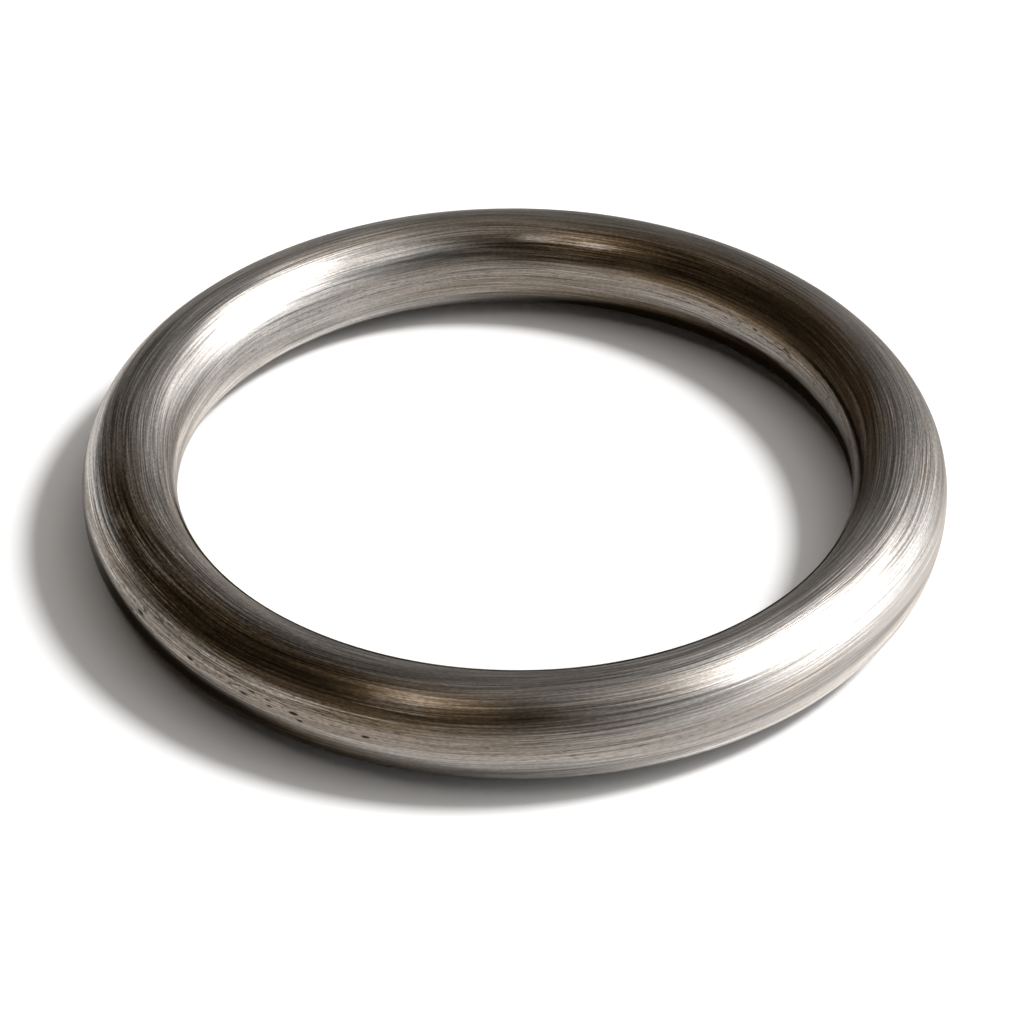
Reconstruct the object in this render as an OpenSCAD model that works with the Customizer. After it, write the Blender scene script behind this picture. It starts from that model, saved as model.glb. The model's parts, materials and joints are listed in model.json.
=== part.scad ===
// A plain solid wrist ring: one closed bar, rounded above and below and a
// little taller than it is wide, lying flat. Millimetres, +Z up, centred on
// the Z axis and resting on z = 0.

/* [Opening] */
// Diameter of the wrist opening, from wall to wall
inner_diameter = 68; // [50:0.5:80]

/* [Bar] */
// Width of the bar, from the wrist opening to the outside
bar_width = 9.5; // [4:0.1:14]
// Height of the upright wall worn between the bar's two half rounds
wall_height = 0.9; // [0.2:0.1:6]

/* [Hidden] */
opening_radius = inner_diameter / 2;
// The half rounds above and below meet the walls without a step
round_radius = bar_width / 2;
bar_centre_radius = opening_radius + round_radius;
lower_round_height = round_radius;
upper_round_height = round_radius + wall_height;
steel = [0.52, 0.50, 0.48];
bar_fn = 96;
ring_fn = 180;

// One of the two rounds of the bar, cut across
module bar_round(height) {
    translate([bar_centre_radius, height])
        circle(r = round_radius, $fn = bar_fn);
}

// The bar cut across: two rounds joined by the upright walls
module bar_section() {
    bar_round(lower_round_height);
    bar_round(upper_round_height);
    translate([opening_radius, lower_round_height])
        square([bar_width, wall_height]);
}

module ring() {
    color(steel)
        rotate_extrude($fn = ring_fn)
            bar_section();
}

ring();
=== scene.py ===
"""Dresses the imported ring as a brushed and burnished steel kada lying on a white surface."""
import json
import math
from collections import namedtuple

import bpy
from bpy.props import FloatProperty, FloatVectorProperty, IntProperty, PointerProperty
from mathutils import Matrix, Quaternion, Vector


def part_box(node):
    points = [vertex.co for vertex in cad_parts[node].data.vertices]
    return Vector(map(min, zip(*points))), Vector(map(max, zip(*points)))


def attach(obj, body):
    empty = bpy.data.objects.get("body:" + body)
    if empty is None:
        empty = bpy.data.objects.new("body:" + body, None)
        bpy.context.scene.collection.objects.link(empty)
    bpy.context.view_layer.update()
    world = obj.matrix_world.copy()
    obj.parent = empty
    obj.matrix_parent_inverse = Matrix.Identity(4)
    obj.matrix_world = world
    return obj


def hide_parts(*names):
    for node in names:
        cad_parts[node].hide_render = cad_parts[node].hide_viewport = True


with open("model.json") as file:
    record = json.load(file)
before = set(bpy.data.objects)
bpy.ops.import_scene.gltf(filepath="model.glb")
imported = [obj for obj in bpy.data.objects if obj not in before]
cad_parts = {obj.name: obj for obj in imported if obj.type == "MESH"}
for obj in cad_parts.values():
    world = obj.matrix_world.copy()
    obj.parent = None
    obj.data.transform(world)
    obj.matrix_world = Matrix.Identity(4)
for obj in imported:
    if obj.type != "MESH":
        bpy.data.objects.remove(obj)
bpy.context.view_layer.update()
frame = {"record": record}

bl_info = {
    "name": "Steel Kada",
    "version": (1, 0, 0),
    "blender": (4, 5, 0),
    "location": "View3D > Sidebar > Kada",
    "description": "Makes a brushed steel kada and the white table that it is photographed on",
    "category": "Add Mesh",
}

TURN = 2 * math.pi
MM = 0.001

# The ring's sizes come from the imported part: its box and its wrist opening
RING_LOW, RING_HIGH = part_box("ring")
OPENING = frame["record"]["mounts"][0]["dims"]
OPENING_RADIUS = OPENING["r_mm"] * MM
WALL_HEIGHT = OPENING["length_mm"] * MM
MIDDLE_HEIGHT = (RING_LOW.z + RING_HIGH.z) / 2
ROUND_RADIUS = (RING_HIGH.z - RING_LOW.z - WALL_HEIGHT) / 2
BAR_RADIUS = OPENING_RADIUS + ROUND_RADIUS


class Wire:
    """A socket that carries a number. Arithmetic on it adds Math nodes to its tree."""

    def __init__(self, graph, socket):
        self.graph = graph
        self.socket = socket

    def __add__(self, other):
        return self.graph.math("ADD", self, other)

    def __sub__(self, other):
        return self.graph.math("SUBTRACT", self, other)

    def __rsub__(self, other):
        return self.graph.math("SUBTRACT", other, self)

    def __mul__(self, other):
        return self.graph.math("MULTIPLY", self, other)

    def __truediv__(self, other):
        return self.graph.math("DIVIDE", self, other)

    def __rtruediv__(self, other):
        return self.graph.math("DIVIDE", other, self)

    __radd__ = __add__
    __rmul__ = __mul__


class Graph:
    """A node tree that is written as expressions."""

    def __init__(self, tree):
        self.tree = tree
        tree.nodes.clear()

    def node(self, kind, settings=None, sockets=None):
        """Adds a node: its settings first, then the value or the link of each socket."""
        node = self.tree.nodes.new(kind)
        for name, value in (settings or {}).items():
            setattr(node, name, value)
        for key, value in (sockets or {}).items():
            socket = node.inputs[key]
            if isinstance(value, Wire):
                self.tree.links.new(value.socket, socket)
            else:
                socket.default_value = value
        return node

    def wire(self, kind, settings=None, sockets=None, output=0):
        return Wire(self, self.node(kind, settings, sockets).outputs[output])

    def math(self, operation, *values):
        return self.wire("ShaderNodeMath", {"operation": operation}, dict(enumerate(values)))

    def sin(self, value):
        return self.math("SINE", value)

    def cos(self, value):
        return self.math("COSINE", value)

    def smooth(self, value, low, high):
        """0 below low, 1 above high, and a soft step between."""
        sockets = {"Value": value, "From Min": low, "From Max": high}
        return self.wire("ShaderNodeMapRange", {"interpolation_type": "SMOOTHSTEP"}, sockets)

    def vector(self, x, y, z):
        return self.wire("ShaderNodeCombineXYZ", None, {0: x, 1: y, 2: z})

    def split(self, vector):
        node = self.node("ShaderNodeSeparateXYZ", None, {0: vector})
        return [Wire(self, socket) for socket in node.outputs]

    def vectors(self, operation, *values, output=0):
        sockets = {k: v if isinstance(v, Wire) else tuple(v) for k, v in enumerate(values)}
        return self.wire("ShaderNodeVectorMath", {"operation": operation}, sockets, output)

    def scale(self, vector, factor):
        sockets = {0: vector, "Scale": factor}
        return self.wire("ShaderNodeVectorMath", {"operation": "SCALE"}, sockets)

    def blend(self, factor, first, second):
        """Mixes two colours by a factor."""
        sockets = {0: factor, 6: (*first, 1), 7: (*second, 1)}
        return self.wire("ShaderNodeMix", {"data_type": "RGBA"}, sockets, output=2)


class AroundBar:
    """Where a point lies on the ring, for patterns that run along its bar and close on themselves."""

    def __init__(self, graph, position, middle_height, drift=0.0):
        self.graph = graph
        self.x, self.y, z = graph.split(position)
        reach = graph.math("SQRT", self.x * self.x + self.y * self.y)
        self.along_x = self.x / reach
        self.along_y = self.y / reach
        out = reach - BAR_RADIUS
        rise = z - middle_height
        around = graph.math("ARCTAN2", self.y, self.x)
        across = graph.math("ARCTAN2", rise, out)
        self.angles = graph.vector(around, across, 0.0)
        if drift:
            # The lines wander a little round the bar on their way along it
            sway = self.noise_at(0.0, 0.0, SWAY_LENGTH, 1.0, 1.0, 0.5, 71.0) - 0.5
            turn = sway * drift
            out, rise = out - rise * turn, rise + out * turn
        self.out, self.rise = out, rise

    def noise_at(self, out, rise, length, width, detail, roughness, seed, output=0):
        """4D noise: two of its axes go across the bar and two follow the circle of the ring."""
        graph = self.graph
        reach = BAR_RADIUS / length
        place = graph.vector(out / width + seed, rise / width, self.along_x * reach)
        sockets = {"Vector": place, "W": self.along_y * reach, "Scale": 1.0}
        sockets.update({"Detail": detail, "Roughness": roughness})
        return graph.wire("ShaderNodeTexNoise", {"noise_dimensions": "4D"}, sockets, output)

    def noise(self, length, width, detail=2.0, roughness=0.5, seed=0.0, output=0):
        """Noise about 0.5, drawn out to length along the bar and to width across it, in metres."""
        return self.noise_at(self.out, self.rise, length, width, detail, roughness, seed, output)

    def marks(self, table, ragged=0.0, grow=1.0):
        """1 in the middle of each mark in a table, 0 away from them, times the mark's strength."""
        graph = self.graph
        place = self.angles
        if ragged:
            tatter = self.noise(1.2 * MM, 0.5 * MM, 2.0, 0.6, 91.0, output=1)
            stray = graph.vectors("SUBTRACT", tatter, (0.5, 0.5, 0.5))
            stray = graph.vectors("MULTIPLY", stray, (ragged / BAR_RADIUS, ragged / ROUND_RADIUS, 0))
            place = graph.vectors("ADD", place, stray)
        total = 0.0
        for mark in table:
            middle = (math.radians(mark.around), math.radians(mark.across), 0)
            apart = graph.vectors("SUBTRACT", place, middle)
            apart = graph.vectors("WRAP", apart, (math.pi,) * 3, (-math.pi,) * 3)
            stretch = (BAR_RADIUS / (mark.length * grow / 2 * MM),
                       ROUND_RADIUS / (mark.width * grow / 2 * MM), 0)
            if mark.slope:
                along = graph.vectors("DOT_PRODUCT", apart, (stretch[0], 0, 0), output=1)
                over = (-mark.slope * stretch[1], stretch[1], 0)
                apart = graph.vector(along, graph.vectors("DOT_PRODUCT", apart, over, output=1), 0.0)
            else:
                apart = graph.vectors("MULTIPLY", apart, stretch)
            distance = graph.vectors("LENGTH", apart, output=1)
            total = graph.smooth(distance, 1.0, 1.0 - mark.edge) * mark.strength + total
        return total


class RingSettings(bpy.types.PropertyGroup):
    """The ring's form and its steel."""

    steps_around: IntProperty(
        name="Steps around", description="Faces in one turn of the ring", default=640, min=48)
    steps_across: IntProperty(
        name="Steps across", description="Faces in one turn of the bar", default=148, min=24)
    unevenness: FloatProperty(
        name="Unevenness", description="Depth of the shallow hollows left by hand finishing",
        default=0.035 * MM, unit="LENGTH")
    groove_depth: FloatProperty(
        name="Groove depth", description="Depth of the coarse lines that run along the bar",
        default=0.006 * MM, unit="LENGTH")
    pit_depth: FloatProperty(
        name="Pit depth", description="Depth of the small pits", default=0.05 * MM, unit="LENGTH")
    steel_colour: FloatVectorProperty(
        name="Steel", description="Colour of the bare steel", subtype="COLOR",
        default=(0.372, 0.352, 0.331), min=0, max=1)
    # The colour of the tarnish, which also browns the painted shade
    stain_and_shade_colour: FloatVectorProperty(
        name="Stain", description="Colour of the brown tarnish", subtype="COLOR",
        default=(0.25, 0.174, 0.1), min=0, max=1)
    # The colour of the dull coat where the painted shade and soot is thickest
    shade_and_soot_colour: FloatVectorProperty(
        name="Soot", description="Colour of the thickest dirt, which has no shine", subtype="COLOR",
        default=(0.013, 0.009, 0.005), min=0, max=1)
    edge_colour: FloatVectorProperty(
        name="Edge", description="Tint of what the steel reflects where it is seen edge on",
        subtype="COLOR", default=(0.46, 0.44, 0.42), min=0, max=1)
    gloss_spread: FloatProperty(
        name="Gloss spread", description="Roughness of the brushed finish", default=0.34,
        min=0, max=1, subtype="FACTOR")
    line_contrast: FloatProperty(
        name="Line contrast", description="How much lighter and darker the brushed lines are",
        default=1.0, min=0, max=4)
    line_depth: FloatProperty(
        name="Line depth", description="Depth of the fine lines that only the shading shows",
        default=0.02 * MM, unit="LENGTH")
    line_drift: FloatProperty(
        name="Line drift", description="How much the lines wander round the bar, none at 0",
        default=0.6, min=0)
    brush_strength: FloatProperty(
        name="Brush strength", description="How much more the finish spreads light across its lines",
        default=0.6, min=0, max=1, subtype="FACTOR")


class StudioSettings(bpy.types.PropertyGroup):
    """The camera, the floor and the light."""

    camera_height: FloatProperty(
        name="Camera elevation", description="Angle of the camera above the floor",
        default=math.radians(37.45), subtype="ANGLE")
    camera_distance: FloatProperty(
        name="Camera distance", description="From the middle of the ring to the camera",
        default=0.3641, unit="LENGTH")
    camera_lens: FloatProperty(
        name="Lens", description="Focal length on a 36 mm sensor", default=126.66, min=10)
    camera_pan: FloatProperty(
        name="Pan", description="Turn of the camera to the right of the ring's middle",
        default=math.radians(-0.04), subtype="ANGLE")
    camera_tilt: FloatProperty(
        name="Tilt", description="Turn of the camera above the ring's middle",
        default=math.radians(-0.665), subtype="ANGLE")
    camera_roll: FloatProperty(
        name="Roll", description="Turn of the camera about its own line of sight",
        default=math.radians(0.455), subtype="ANGLE")
    floor_colour: FloatVectorProperty(
        name="Floor", description="Colour of the floor", subtype="COLOR",
        default=(0.8, 0.8, 0.8), min=0, max=1)
    key_elevation: FloatProperty(
        name="Key elevation", description="Height of the main light above the floor",
        default=math.radians(49), subtype="ANGLE")
    key_azimuth: FloatProperty(
        name="Key azimuth", description="Direction of the main light, from +X towards +Y",
        default=math.radians(16), subtype="ANGLE")
    key_size: FloatProperty(
        name="Key size", description="Angle that the main light fills",
        default=math.radians(12), subtype="ANGLE")
    key_strength: FloatProperty(
        name="Key strength", description="Strength of the main light", default=3.5, min=0)
    fill_size: FloatProperty(
        name="Fill size", description="Angle that the light above the floor fills",
        default=math.radians(55), subtype="ANGLE")
    fill_strength: FloatProperty(
        name="Fill strength", description="Strength of the light above the floor", default=0.54, min=0)
    fill_colour: FloatVectorProperty(
        name="Fill colour", description="Colour of the light above the floor", subtype="COLOR",
        default=(1.0, 0.965, 0.93), min=0, max=1)


# A soft patch of light in the sky: where it is and how far it spreads, in degrees. The strongest
# lies below the floor's edge, and only its glow over that edge is seen
SkyPatch = namedtuple("SkyPatch", "azimuth elevation spread strength colour")
SKY = (
    SkyPatch(azimuth=0, elevation=-31, spread=31, strength=26.0, colour=(0.98, 1.0, 1.03)),
    SkyPatch(azimuth=21, elevation=49, spread=24, strength=2.2, colour=(1.03, 1.0, 0.97)),
    SkyPatch(azimuth=77, elevation=11, spread=39, strength=0.25, colour=(1.04, 1.0, 0.95)),
    SkyPatch(azimuth=231, elevation=72, spread=6, strength=3.6, colour=(1.07, 1.0, 0.93)),
)
# The even tone between the patches
SKY_TONE = (0.010, 0.007, 0.004)

# A mark on the steel: its middle, as degrees around the ring from +X and degrees across the bar
# from outside over the top; its size in millimetres; how soft its edge is, from 0 to 1; how strong
# it is; and how many degrees across it climbs for each degree around
Mark = namedtuple("Mark", "around across length width edge strength slope", defaults=(0.0,))

# Small pits in the low outside face
PITS = (
    Mark(around=205.4, across=27, length=1.4, width=0.22, edge=0.8, strength=0.6),
    Mark(around=208.5, across=19, length=1.2, width=0.24, edge=0.8, strength=0.6),
    Mark(around=212.5, across=10, length=0.8, width=0.30, edge=0.8, strength=0.6),
    Mark(around=214.7, across=18, length=1.4, width=0.46, edge=0.6, strength=1.0),
    Mark(around=221.0, across=33, length=2.4, width=0.18, edge=0.8, strength=0.6, slope=-0.8),
    Mark(around=225.4, across=13, length=1.2, width=0.44, edge=0.6, strength=1.0),
    Mark(around=232.5, across=12, length=0.9, width=0.28, edge=0.8, strength=0.7),
    Mark(around=234.7, across=9, length=1.6, width=0.60, edge=0.8, strength=0.9),
    Mark(around=238.4, across=15, length=1.0, width=0.26, edge=0.8, strength=0.8),
    Mark(around=238.6, across=7, length=0.8, width=0.36, edge=0.7, strength=0.9),
    Mark(around=242.1, across=10, length=1.3, width=0.48, edge=0.6, strength=1.0),
    Mark(around=243.0, across=3, length=0.9, width=0.34, edge=0.7, strength=1.0),
    Mark(around=251.8, across=7, length=1.1, width=0.42, edge=0.6, strength=1.0),
    Mark(around=271.0, across=-2, length=2.4, width=0.18, edge=0.8, strength=0.5),
    Mark(around=280.0, across=-3, length=1.2, width=0.20, edge=0.8, strength=0.5),
)

# Brown tarnish with painted shade: browner and darker over the front and the far side of the top,
# where the dark room is reflected, and on both low faces, where the shadowed floor is reflected;
# and a thin film of tarnish on the walls
TARNISH_AND_SHADE = (
    Mark(around=211, across=70, length=64, width=7.0, edge=0.9, strength=0.9, slope=-0.28),
    Mark(around=244, across=54, length=58, width=6.2, edge=0.8, strength=0.95, slope=-0.2),
    Mark(around=265, across=46, length=50, width=7.0, edge=1.0, strength=0.4),
    Mark(around=246, across=16, length=96, width=5.2, edge=1.0, strength=0.5, slope=-0.15),
    Mark(around=226, across=-28, length=66, width=5.0, edge=0.9, strength=0.9),
    Mark(around=202, across=40, length=44, width=3.4, edge=1.0, strength=0.4),
    Mark(around=46, across=129, length=110, width=6.4, edge=0.8, strength=1.3),
    Mark(around=24, across=208, length=110, width=5.2, edge=0.8, strength=1.4),
    Mark(around=66, across=160, length=120, width=4.4, edge=1.0, strength=0.45),
    Mark(around=88, across=186, length=60, width=4.0, edge=1.0, strength=0.5),
    Mark(around=44, across=100, length=90, width=4.0, edge=1.0, strength=0.45),
    Mark(around=98, across=98, length=60, width=4.0, edge=1.0, strength=0.35),
    Mark(around=182, across=166, length=40, width=3.0, edge=1.0, strength=0.25),
)

# Painted shade and soot: nearly black under the bar and low on the inside, where the shadowed floor is
# reflected; painted dark outlines along the inner front edge and along the top of the far side; and
# darker places in the dark reflected bands
SHADE_AND_SOOT = (
    Mark(around=218, across=-8, length=66, width=3.6, edge=1.0, strength=1.0, slope=-0.3),
    Mark(around=228, across=-32, length=80, width=4.4, edge=1.0, strength=0.65, slope=-0.2),
    Mark(around=206, across=8, length=30, width=1.6, edge=1.0, strength=0.4, slope=-0.5),
    Mark(around=272, across=-20, length=36, width=3.4, edge=1.0, strength=0.45),
    Mark(around=24, across=208, length=120, width=5.6, edge=1.0, strength=1.3, slope=0.1),
    Mark(around=60, across=219, length=56, width=3.0, edge=1.0, strength=1.1, slope=0.1),
    Mark(around=78, across=187, length=54, width=2.8, edge=1.0, strength=0.2),
    Mark(around=40, across=191, length=50, width=1.4, edge=1.0, strength=0.35),
    Mark(around=4, across=180, length=36, width=3.0, edge=1.0, strength=0.8, slope=0.6),
    Mark(around=92, across=176, length=60, width=3.6, edge=1.0, strength=0.3),
    Mark(around=120, across=202, length=60, width=2.0, edge=1.0, strength=0.3),
    Mark(around=226, across=50, length=20, width=0.8, edge=1.0, strength=0.35, slope=-0.3),
    Mark(around=271, across=52, length=9, width=5.0, edge=1.0, strength=0.45),
    Mark(around=284, across=82, length=30, width=3.6, edge=1.0, strength=0.4),
    Mark(around=276, across=18, length=56, width=4.0, edge=1.0, strength=0.25),
    Mark(around=196, across=86, length=36, width=0.6, edge=1.0, strength=0.45, slope=-0.12),
    Mark(around=226, across=86, length=34, width=0.6, edge=1.0, strength=0.5, slope=-0.4),
    Mark(around=164, across=74, length=44, width=1.4, edge=1.0, strength=0.4),
    Mark(around=196, across=144, length=34, width=0.9, edge=0.9, strength=0.5, slope=-0.36),
    Mark(around=213, across=136.5, length=30, width=1.4, edge=0.6, strength=1.0, slope=-0.55),
    Mark(around=238, across=125, length=34, width=1.4, edge=0.6, strength=1.0, slope=-0.36),
    Mark(around=270, across=117, length=44, width=1.0, edge=0.8, strength=0.9),
    Mark(around=302, across=125, length=34, width=1.4, edge=0.6, strength=1.0, slope=0.36),
    Mark(around=324, across=136, length=30, width=1.4, edge=0.6, strength=1.0, slope=0.5),
    Mark(around=354, across=142, length=34, width=1.2, edge=0.9, strength=0.8, slope=0.2),
    Mark(around=168, across=150, length=40, width=1.4, edge=1.0, strength=0.3),
    Mark(around=58, across=137, length=30, width=1.2, edge=1.0, strength=0.35),
    Mark(around=18, across=149.5, length=56, width=1.2, edge=1.0, strength=1.0, slope=0.03),
    Mark(around=104, across=141, length=24, width=1.0, edge=1.0, strength=0.5),
    Mark(around=70, across=134, length=44, width=1.6, edge=1.0, strength=0.25),
    Mark(around=92, across=133, length=18, width=1.2, edge=0.9, strength=0.5),
    Mark(around=150, across=98, length=64, width=3.2, edge=1.0, strength=0.6),
    Mark(around=106, across=60, length=110, width=1.1, edge=1.0, strength=0.8),
)

# Wear and painted highlights: lighter spots on the top, painted glints where the small patch of light
# overhead is reflected, the ends of the highlights, the left edge, and painted reflection of the
# bright floor on the low right faces
WEAR_AND_HIGHLIGHTS = (
    Mark(around=256, across=53, length=13, width=3.2, edge=0.9, strength=0.95),
    Mark(around=254, across=47, length=16, width=1.4, edge=1.0, strength=0.5),
    Mark(around=76, across=127, length=8.0, width=1.2, edge=1.0, strength=1.2),
    Mark(around=86.5, across=124, length=8.0, width=1.2, edge=1.0, strength=1.2),
    Mark(around=201, across=63, length=3.6, width=1.4, edge=0.9, strength=0.8),
    Mark(around=192, across=50, length=34, width=2.2, edge=1.0, strength=0.9),
    Mark(around=212, across=44, length=26, width=2.2, edge=1.0, strength=0.5, slope=-0.2),
    Mark(around=211, across=64, length=14, width=1.2, edge=1.0, strength=0.5),
    Mark(around=240, across=29, length=34, width=1.4, edge=1.0, strength=0.5),
    Mark(around=215, across=74, length=22, width=3.0, edge=1.0, strength=0.5),
    Mark(around=200, across=20, length=20, width=2.0, edge=1.0, strength=0.8),
    Mark(around=280, across=47, length=10, width=1.4, edge=1.0, strength=0.4),
    Mark(around=246, across=106, length=34, width=1.8, edge=1.0, strength=0.5),
    Mark(around=110, across=131, length=24, width=2.2, edge=1.0, strength=1.2),
    Mark(around=46, across=106, length=40, width=1.4, edge=1.0, strength=0.6),
    Mark(around=14, across=133, length=36, width=1.0, edge=1.0, strength=0.7),
    Mark(around=54, across=113, length=18, width=1.0, edge=1.0, strength=0.5),
    Mark(around=82, across=126, length=28, width=2.2, edge=1.0, strength=0.3),
    Mark(around=176, across=166, length=36, width=2.0, edge=1.0, strength=0.9, slope=-0.4),
    Mark(around=167, across=126, length=16, width=1.8, edge=1.0, strength=0.7),
    Mark(around=160, across=196, length=44, width=3.6, edge=1.0, strength=1.1, slope=-0.6),
    Mark(around=174, across=42, length=50, width=3.0, edge=1.0, strength=1.5, slope=-0.2),
    Mark(around=300, across=-36, length=60, width=2.4, edge=1.0, strength=1.6),
    Mark(around=326, across=-17, length=50, width=3.2, edge=1.0, strength=1.4, slope=0.3),
    Mark(around=346, across=18, length=44, width=3.6, edge=1.0, strength=0.9),
    Mark(around=342, across=2, length=26, width=1.6, edge=1.0, strength=0.5),
    Mark(around=298, across=52, length=16, width=2.8, edge=1.0, strength=0.35),
    Mark(around=335, across=70, length=18, width=1.6, edge=1.0, strength=0.5),
    Mark(around=128, across=218, length=56, width=2.8, edge=1.0, strength=1.4),
)

# Painted highlights: the two places where the main light is reflected, made lighter, with the brushed
# lines faint
PAINTED_HIGHLIGHTS = (
    Mark(around=140, across=136, length=32, width=3.4, edge=1.0, strength=1.0),
    Mark(around=314, across=60, length=32, width=3.8, edge=1.0, strength=1.0),
)

# Coarser brushing, with more contrast between its lines, or less where the strength is below 0
COARSE = (
    Mark(around=212, across=70, length=92, width=16, edge=1.0, strength=1.0),
    Mark(around=2, across=70, length=50, width=11, edge=1.0, strength=0.4),
    Mark(around=60, across=126, length=80, width=6, edge=1.0, strength=0.6),
    Mark(around=318, across=8, length=64, width=8, edge=1.0, strength=-0.35),
    Mark(around=340, across=12, length=44, width=7, edge=1.0, strength=-0.35),
)

# Short dark dashes, as the scale of the forged bar left them, low on the outside and the inside
DASHED = (
    Mark(around=228, across=22, length=90, width=5.0, edge=1.0, strength=1.2),
    Mark(around=284, across=2, length=60, width=4.0, edge=1.0, strength=0.5),
    Mark(around=24, across=166, length=100, width=3.0, edge=1.0, strength=1.5),
    Mark(around=126, across=172, length=90, width=4.4, edge=1.0, strength=0.7),
)

# What the mesh carries for its material: each table, and how ragged its marks' edges are, in mm
PAINTED = {
    "tarnish_and_shade": (TARNISH_AND_SHADE, 1.0),
    "shade_and_soot": (SHADE_AND_SOOT, 0.3),
    "worn": (WEAR_AND_HIGHLIGHTS, 0.5),
    "painted_highlights": (PAINTED_HIGHLIGHTS, 0.5),
    "coarse": (COARSE, 0.0),
    "dashed": (DASHED, 0.5),
}

# A layer of lines in the steel: noise drawn out along the bar, with its length and width in
# millimetres; and how much it shades the steel, stands in the fine relief and spreads the gloss
Layer = namedtuple("Layer", "length width detail seed shade height gloss roughness", defaults=(0.5,))
LAYERS = {
    "grain": Layer(length=0.4, width=0.14, detail=0, seed=57, shade=0.8, height=0.3, gloss=0),
    "hairs": Layer(length=8, width=0.12, detail=0, seed=3, shade=1.8, height=1.0, gloss=0.12),
    "lines": Layer(length=12, width=0.3, detail=1, seed=21, shade=0.8, height=1.4, gloss=0.1),
    "bands": Layer(length=28, width=0.8, detail=2, seed=33, shade=0.6, height=1.2, gloss=0),
    "clouds": Layer(length=30, width=3.2, detail=2, seed=45, shade=0.4, height=0, gloss=0),
    "dashes": Layer(length=1.1, width=0.17, detail=2, seed=83, shade=0.8, height=1.2, gloss=0,
                    roughness=0.6),
    "scratches": Layer(length=20, width=0.17, detail=1, seed=13, shade=0, height=0, gloss=0),
}

# Strokes picked out of a layer: the noise levels between which a stroke grows from none to full,
# and how much it shades the steel and stands in the fine relief
Stroke = namedtuple("Stroke", "layer low high shade height")
DARK_LINES = Stroke(layer="scratches", low=0.06, high=0.2, shade=-0.6, height=-0.5)
LIGHT_LINES = Stroke(layer="scratches", low=-0.08, high=-0.2, shade=0.25, height=0)
DARK_DASHES = Stroke(layer="dashes", low=0.06, high=0.19, shade=-1.3, height=-1.2)
# What dashed places add to the spread of the gloss
DASHED_GLOSS = 0.04

# How much the lines show where the brushing is plain, what coarse brushing adds to the fine and the
# broad ones, and what the painted highlights take away
PLAIN_CONTRAST = 0.65
COARSE_FINE = 1.2
COARSE_BROAD = 0.15
HIGHLIGHT_CALM = 0.6

# How much of its light a pit or the painted shade and soot takes away, and how much the wear and
# painted highlights add
PIT_SHADE = 0.9
SHADE_AND_SOOT_DEPTH = 0.93
WEAR_AND_HIGHLIGHT_SHINE = 1.1
HIGHLIGHT_SHINE = 0.5

# What the bright lines and the wear and painted highlights take off the tarnish and painted shade,
# and how strong its thin film elsewhere is
TARNISH_AND_SHADE_RUBBED = 0.5
TARNISH_AND_SHADE_LIFTED = 0.6
TARNISH_FILM = 0.3

# The level of painted shade and soot at which a dull dark coat begins to hide the metal, and how much
# of the metal the thickest hides
SHADE_AND_SOOT_HIDES = 0.45
SHADE_AND_SOOT_COVER = 0.85

# How sharply each round of the bar turns into its short wall
WALL_EASE = 5.0
# How far apart the bends of the wandering lines are
SWAY_LENGTH = 36 * MM
# How much wider a pit's dent is than its dark spot, and how ragged that spot's edge is
DENT_SPREAD = 1.3
PIT_RAGGED = 0.12 * MM
# Points of the rolled grid that are this close are the same point
SEAM = 1e-6
# From the middle of the floor to its edges
FLOOR_REACH = 8.0


def direction(azimuth, elevation):
    """The unit vector towards a point of the sky, with its angles in radians."""
    flat = math.cos(elevation)
    return Vector((math.cos(azimuth) * flat, math.sin(azimuth) * flat, math.sin(elevation)))


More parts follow.
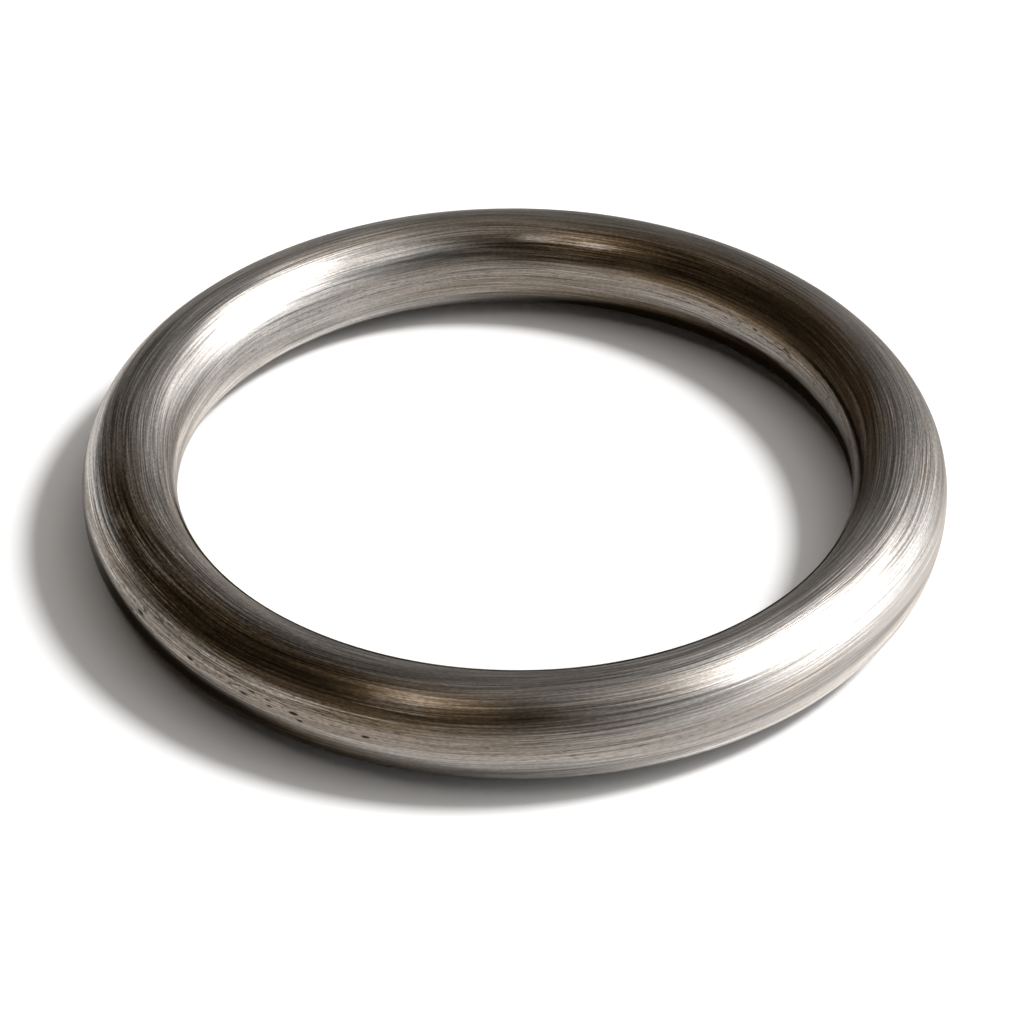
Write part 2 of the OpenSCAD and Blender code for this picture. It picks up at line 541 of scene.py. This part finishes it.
def build_ring_tree(material):
    """A tree that makes the ring from a flat grid, rolled round the bar and bent round the axis."""
    tree = bpy.data.node_groups.new("kada_form", "GeometryNodeTree")
    panel = tree.interface
    sizes = {
        "Steps around": "NodeSocketInt",
        "Steps across": "NodeSocketInt",
        "Bar radius": "NodeSocketFloat",
        "Round radius": "NodeSocketFloat",
        "Wall height": "NodeSocketFloat",
        "Middle height": "NodeSocketFloat",
        "Unevenness": "NodeSocketFloat",
        "Groove depth": "NodeSocketFloat",
        "Pit depth": "NodeSocketFloat",
    }
    for name, kind in sizes.items():
        panel.new_socket(name, in_out="INPUT", socket_type=kind)
    panel.new_socket("Geometry", in_out="OUTPUT", socket_type="NodeSocketGeometry")
    graph = Graph(tree)
    given = graph.node("NodeGroupInput")
    size = {name: Wire(graph, given.outputs[name]) for name in sizes}

    grid = graph.node("GeometryNodeMeshGrid", None, {
        "Size X": 1.0,
        "Size Y": 1.0,
        "Vertices X": size["Steps around"] + 1,
        "Vertices Y": size["Steps across"] + 1,
    })
    across, around, _ = graph.split(graph.wire("GeometryNodeInputPosition"))
    turn = across * TURN
    roll = around * TURN
    turn_x, turn_y = graph.cos(turn), graph.sin(turn)
    roll_out, roll_up = graph.cos(roll), graph.sin(roll)

    # The short walls inside and outside: the two rounds are pushed apart by the wall's height
    lift = graph.math("TANH", roll_up * WALL_EASE) * size["Wall height"] / 2
    out = size["Bar radius"] + size["Round radius"] * roll_out
    up = size["Round radius"] * roll_up + lift
    plain = graph.vector(out * turn_x, out * turn_y, up)
    place = AroundBar(graph, plain, 0.0)
    # The hollows only cut in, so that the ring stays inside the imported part's box
    hollows = place.noise(9 * MM, 3.0 * MM, detail=1.5, seed=11.0) - 0.8
    lines = place.noise(14 * MM, 0.55 * MM, detail=2.0, seed=37.0) - 0.5
    pits = place.marks(PITS, grow=DENT_SPREAD)
    relief = hollows * size["Unevenness"] * 2 + lines * size["Groove depth"] * 2
    relief = relief - pits * size["Pit depth"]
    out = out + roll_out * relief
    up = up + roll_up * relief + size["Middle height"]

    painted = Wire(graph, grid.outputs["Mesh"])
    # The painted shade, the painted highlights and the tarnish are stored on the points for the material
    for name, (table, ragged) in PAINTED.items():
        stored = {"Geometry": painted, "Name": name, "Value": place.marks(table, ragged * MM)}
        kind = {"data_type": "FLOAT", "domain": "POINT"}
        painted = graph.wire("GeometryNodeStoreNamedAttribute", kind, stored)
    moved = graph.wire("GeometryNodeSetPosition", None, {
        "Geometry": painted,
        "Position": graph.vector(out * turn_x, out * turn_y, up),
    })
    closed = graph.wire("GeometryNodeMergeByDistance", None, {"Geometry": moved, "Distance": SEAM})
    smooth = graph.wire("GeometryNodeSetShadeSmooth", None, {"Geometry": closed})
    whole = graph.wire("GeometryNodeRealizeInstances", None, {"Geometry": smooth})
    dressed = graph.wire("GeometryNodeSetMaterial", None, {"Geometry": whole, "Material": material})
    graph.node("NodeGroupOutput", None, {"Geometry": dressed})
    return tree


def set_modifier_inputs(modifier, values):
    """Gives a Geometry Nodes modifier its inputs, which it knows by identifier and not by name."""
    for item in modifier.node_group.interface.items_tree:
        if item.item_type == "SOCKET" and item.in_out == "INPUT":
            modifier[item.identifier] = values[item.name]


def weighed(layers, column, *names):
    """The sum of some layers of lines, each times its number in one column of LAYERS."""
    first, *rest = (layers[name] * getattr(LAYERS[name], column) for name in names)
    return sum(rest, first)


def steel_material(settings):
    """Brushed steel along the bar, with wear, tarnish, soot and small pits, and painted shade and
    highlights.
    """
    material = bpy.data.materials.new("brushed_steel")
    material.use_nodes = True
    graph = Graph(material.node_tree)
    position = graph.wire("ShaderNodeTexCoord", output=3)
    bar = AroundBar(graph, position, MIDDLE_HEIGHT, drift=settings.line_drift)

    layers = {}
    for name, layer in LAYERS.items():
        noise = bar.noise(layer.length * MM, layer.width * MM, layer.detail, layer.roughness, layer.seed)
        layers[name] = noise - 0.5
    pits = bar.marks(PITS, ragged=PIT_RAGGED)
    # Painted shade and soot, wear and painted highlights, and tarnish with painted shade, read from the
    # mesh
    tarnish_and_shade, shade_and_soot, worn, painted_highlights, coarse, dashed = (
        graph.wire("ShaderNodeAttribute", {"attribute_name": name}, output=2) for name in PAINTED)
    pits = graph.math("MINIMUM", pits, 1.0)
    shade_and_soot = graph.math("MINIMUM", shade_and_soot, 1.0)

    dark_lines, light_lines, dark_dashes = (
        graph.smooth(layers[stroke.layer], stroke.low, stroke.high)
        for stroke in (DARK_LINES, LIGHT_LINES, DARK_DASHES))
    dark_dashes = dark_dashes * dashed
    fine = weighed(layers, "shade", "grain", "hairs")
    broad = weighed(layers, "shade", "lines", "bands")
    broad = broad + light_lines * LIGHT_LINES.shade + dark_lines * DARK_LINES.shade
    shade = fine * (PLAIN_CONTRAST + coarse * COARSE_FINE)
    shade = shade + broad * (PLAIN_CONTRAST + coarse * COARSE_BROAD)
    shade = shade + weighed(layers, "shade", "dashes") * dashed + dark_dashes * DARK_DASHES.shade
    shade = shade + weighed(layers, "shade", "clouds")
    shade = shade * (1.0 - painted_highlights * HIGHLIGHT_CALM)
    shade = graph.math("EXPONENT", shade * settings.line_contrast)
    # Painted shade darkens the steel under the bar and along the dark outlines; painted highlights and
    # reflections lighten it where the lights and the bright floor are reflected
    shade = shade * (1.0 - pits * PIT_SHADE) * (1.0 - shade_and_soot * SHADE_AND_SOOT_DEPTH)
    shade = shade * (1.0 + worn * WEAR_AND_HIGHLIGHT_SHINE) * (1.0 + painted_highlights * HIGHLIGHT_SHINE)

    # The lines that catch the light are those rubbed clean of the tarnish and painted shade, and the wear
    # and painted highlights lift it too
    stained_and_shaded = tarnish_and_shade * (1.0 - (fine + broad) * TARNISH_AND_SHADE_RUBBED) - worn * TARNISH_AND_SHADE_LIFTED
    stained_and_shaded = stained_and_shaded + graph.smooth(layers["clouds"], 0.02, 0.3) * TARNISH_FILM
    stained_and_shaded = graph.math("MAXIMUM", graph.math("MINIMUM", stained_and_shaded, 1.0), 0.0)
    colour = graph.blend(stained_and_shaded, settings.steel_colour, settings.stain_and_shade_colour)
    colour = graph.scale(colour, shade)

    roughness = weighed(layers, "gloss", "hairs", "lines") + settings.gloss_spread + dashed * DASHED_GLOSS
    height = weighed(layers, "height", "grain", "hairs", "lines", "bands")
    height = height + weighed(layers, "height", "dashes") * dashed
    height = height + dark_lines * DARK_LINES.height + dark_dashes * DARK_DASHES.height
    bump = graph.wire("ShaderNodeBump", None, {
        "Strength": 1.0, "Distance": settings.line_depth, "Height": height})
    shader = graph.wire("ShaderNodeBsdfPrincipled", None, {
        "Base Color": colour,
        "Metallic": 1.0,
        "Roughness": roughness,
        "Anisotropic": settings.brush_strength,
        "Anisotropic Rotation": 0.25,
        "Specular Tint": (*settings.edge_colour, 1),
        "Normal": bump,
    })
    # Where the painted shade and soot is thickest, a dull dark coat hides the metal
    shade_and_soot_coat = graph.wire("ShaderNodeBsdfDiffuse", None, {"Color": (*settings.shade_and_soot_colour, 1)})
    hidden = graph.smooth(shade_and_soot, SHADE_AND_SOOT_HIDES, 1.0) * SHADE_AND_SOOT_COVER
    shader = graph.wire("ShaderNodeMixShader", None, {0: hidden, 1: shader, 2: shade_and_soot_coat})
    graph.node("ShaderNodeOutputMaterial", None, {"Surface": shader})
    return material


def make_piece(name, tree, material, values):
    """Runs a Geometry Nodes tree and keeps its result as a plain mesh."""
    piece = bpy.data.objects.new(name, bpy.data.meshes.new(name))
    bpy.context.scene.collection.objects.link(piece)
    modifier = piece.modifiers.new("form", "NODES")
    modifier.node_group = tree
    set_modifier_inputs(modifier, values)
    depsgraph = bpy.context.evaluated_depsgraph_get()
    mesh = bpy.data.meshes.new_from_object(piece.evaluated_get(depsgraph))
    piece.modifiers.clear()
    piece.data = mesh
    mesh.name = name
    mesh.materials.clear()
    mesh.materials.append(material)
    return piece


class KADA_OT_ring(bpy.types.Operator):
    """Makes the ring in brushed steel and lets it stand for the plain solid"""

    bl_idname = "kada.ring"
    bl_label = "Ring"

    def execute(self, context):
        settings = context.scene.kada_ring
        material = steel_material(settings)
        ring = make_piece("kada_ring", build_ring_tree(material), material, {
            "Steps around": settings.steps_around,
            "Steps across": settings.steps_across,
            "Bar radius": BAR_RADIUS,
            "Round radius": ROUND_RADIUS,
            "Wall height": WALL_HEIGHT,
            "Middle height": MIDDLE_HEIGHT,
            "Unevenness": settings.unevenness,
            "Groove depth": settings.groove_depth,
            "Pit depth": settings.pit_depth,
        })
        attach(ring, "root")
        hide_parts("ring")
        return {"FINISHED"}


def make_floor(settings):
    """A plain white floor, wide enough to fill any view."""
    reach = FLOOR_REACH
    corners = [(-reach, -reach, 0), (reach, -reach, 0), (reach, reach, 0), (-reach, reach, 0)]
    mesh = bpy.data.meshes.new("floor")
    mesh.from_pydata(corners, [], [(0, 1, 2, 3)])
    floor = bpy.data.objects.new("floor", mesh)
    bpy.context.scene.collection.objects.link(floor)
    material = bpy.data.materials.new("white_floor")
    material.use_nodes = True
    graph = Graph(material.node_tree)
    shader = graph.wire("ShaderNodeBsdfDiffuse", None, {"Color": (*settings.floor_colour, 1)})
    graph.node("ShaderNodeOutputMaterial", None, {"Surface": shader})
    mesh.materials.append(material)
    return floor


def make_sky():
    """The dim room above the floor: an even tone and soft patches of light."""
    world = bpy.data.worlds.new("sky")
    bpy.context.scene.world = world
    world.use_nodes = True
    graph = Graph(world.node_tree)
    towards = graph.wire("ShaderNodeTexCoord", output=0)
    colour = SKY_TONE
    for patch in SKY:
        aim = direction(math.radians(patch.azimuth), math.radians(patch.elevation))
        facing = graph.vectors("DOT_PRODUCT", towards, aim, output=1)
        sharpness = 1 / (1 - math.cos(math.radians(patch.spread)))
        glow = graph.math("EXPONENT", (facing - 1.0) * sharpness) * patch.strength
        colour = graph.vectors("ADD", graph.scale(patch.colour, glow), colour)
    background = graph.wire("ShaderNodeBackground", None, {"Color": colour})
    graph.node("ShaderNodeOutputWorld", None, {"Surface": background})


def make_lamp(name, azimuth, elevation, size, strength):
    """A light so far away that it lights the floor evenly, wide enough for soft edges."""
    lamp = bpy.data.lights.new(name, "SUN")
    lamp.energy = strength
    lamp.angle = size
    light = bpy.data.objects.new(name, lamp)
    light.rotation_mode = "QUATERNION"
    light.rotation_quaternion = direction(azimuth, elevation).to_track_quat("Z", "Y")
    bpy.context.scene.collection.objects.link(light)
    return light


def make_lights(settings, floor):
    """The main light, and a fill from above that keeps the shadow on the floor pale."""
    make_lamp("key", settings.key_azimuth, settings.key_elevation,
              settings.key_size, settings.key_strength)
    fill = make_lamp("floor_fill", 0.0, math.radians(90), settings.fill_size, settings.fill_strength)
    fill.data.color = settings.fill_colour
    lit = bpy.data.collections.new("lit_by_fill")
    lit.objects.link(floor)
    fill.light_linking.receiver_collection = lit


def make_camera(settings):
    """The camera at the photograph's angle."""
    data = bpy.data.cameras.new("camera")
    data.lens = settings.camera_lens
    data.sensor_width = 36
    data.clip_start, data.clip_end = 0.01, 40
    camera = bpy.data.objects.new("camera", data)
    bpy.context.scene.collection.objects.link(camera)
    bpy.context.scene.camera = camera
    back = direction(math.radians(-90), settings.camera_height)
    camera.location = Vector((0, 0, MIDDLE_HEIGHT)) + back * settings.camera_distance
    look = (-back).to_track_quat("-Z", "Y")
    pan = Quaternion((0, 1, 0), -settings.camera_pan)
    tilt = Quaternion((1, 0, 0), settings.camera_tilt)
    roll = Quaternion((0, 0, 1), settings.camera_roll)
    camera.rotation_mode = "QUATERNION"
    camera.rotation_quaternion = look @ pan @ tilt @ roll


class KADA_OT_stage(bpy.types.Operator):
    """Makes the floor, the light and the camera"""

    bl_idname = "kada.stage"
    bl_label = "Stage"

    def execute(self, context):
        settings = context.scene.kada_studio
        floor = make_floor(settings)
        make_sky()
        make_lights(settings, floor)
        make_camera(settings)
        context.scene.view_settings.view_transform = "Standard"
        return {"FINISHED"}


class KADA_PT_panel(bpy.types.Panel):
    """Lists the steps that make the picture"""

    bl_idname = "KADA_PT_panel"
    bl_label = "Steel kada"
    bl_space_type = "VIEW_3D"
    bl_region_type = "UI"
    bl_category = "Kada"

    def draw(self, context):
        for step in STEPS:
            self.layout.operator(step.bl_idname)
        for group in (context.scene.kada_ring, context.scene.kada_studio):
            for name in group.bl_rna.properties.keys():
                if name not in ("rna_type", "name"):
                    self.layout.prop(group, name)


STEPS = (KADA_OT_stage, KADA_OT_ring)
CLASSES = (RingSettings, StudioSettings, *STEPS, KADA_PT_panel)


def register():
    for made in CLASSES:
        bpy.utils.register_class(made)
    bpy.types.Scene.kada_ring = PointerProperty(type=RingSettings)
    bpy.types.Scene.kada_studio = PointerProperty(type=StudioSettings)


def unregister():
    del bpy.types.Scene.kada_studio
    del bpy.types.Scene.kada_ring
    for made in reversed(CLASSES):
        bpy.utils.unregister_class(made)


def main():
    register()
    bpy.ops.kada.stage()
    bpy.ops.kada.ring()


if __name__ == "__main__":
    main()
